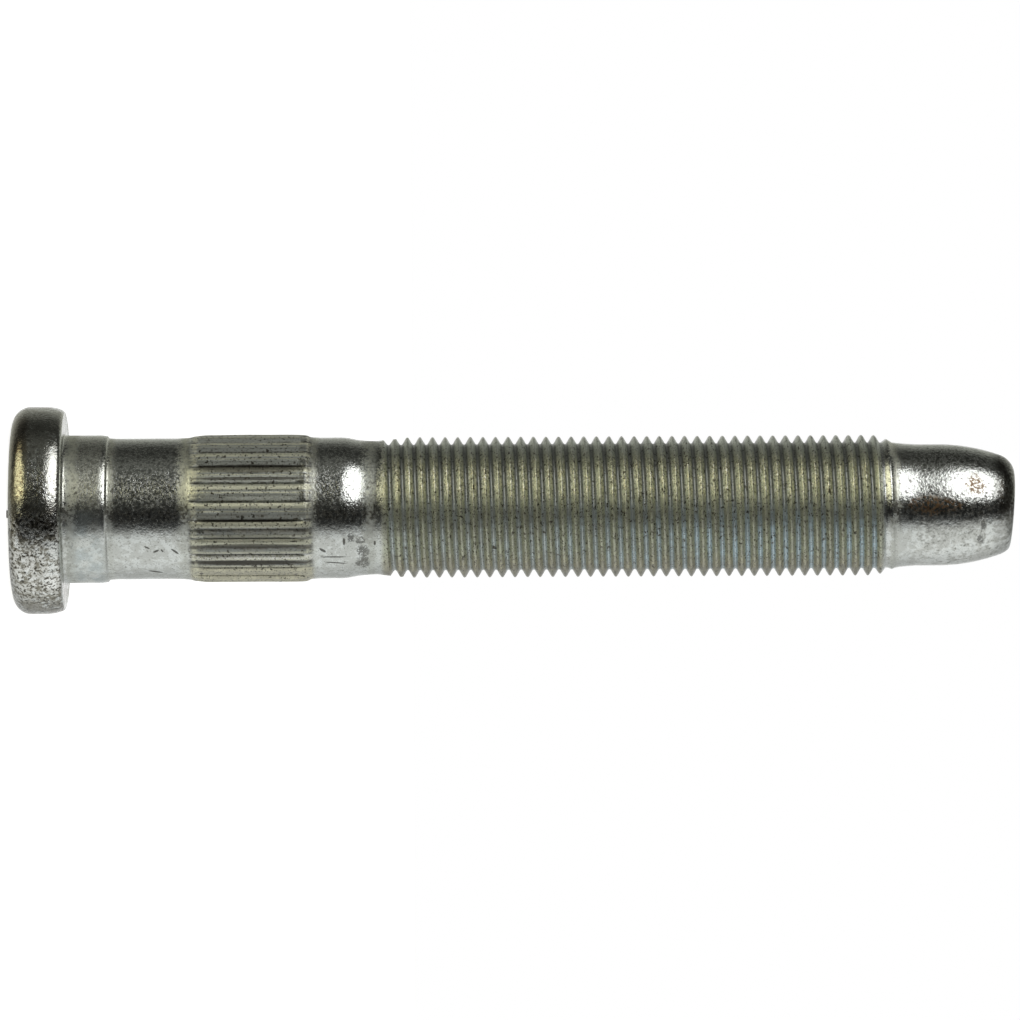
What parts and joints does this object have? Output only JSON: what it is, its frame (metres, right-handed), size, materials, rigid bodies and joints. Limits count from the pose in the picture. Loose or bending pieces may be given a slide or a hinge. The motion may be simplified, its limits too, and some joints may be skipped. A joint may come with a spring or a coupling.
{
  "type": "wheel stud",
  "caption": "Press-in wheel stud with a round head, a serrated section, a fine right-hand thread and a bullet-shaped tip.",
  "frame": {"origin": "centre of the head's bearing face, the flat ring that seats on the hub flange", "axes": "+Z along the stud, from the head to the tip; the sheared end face leans down towards +X"},
  "size_m": [0.0232, 0.0232, 0.1124],
  "materials": {
    "zinc_plated_steel": "zinc plated with a faint yellow passivate, mottled and finely pitted"
  },
  "bodies": {
    "root": {"wheel_stud": "zinc_plated_steel"}
  },
  "joints": []
}
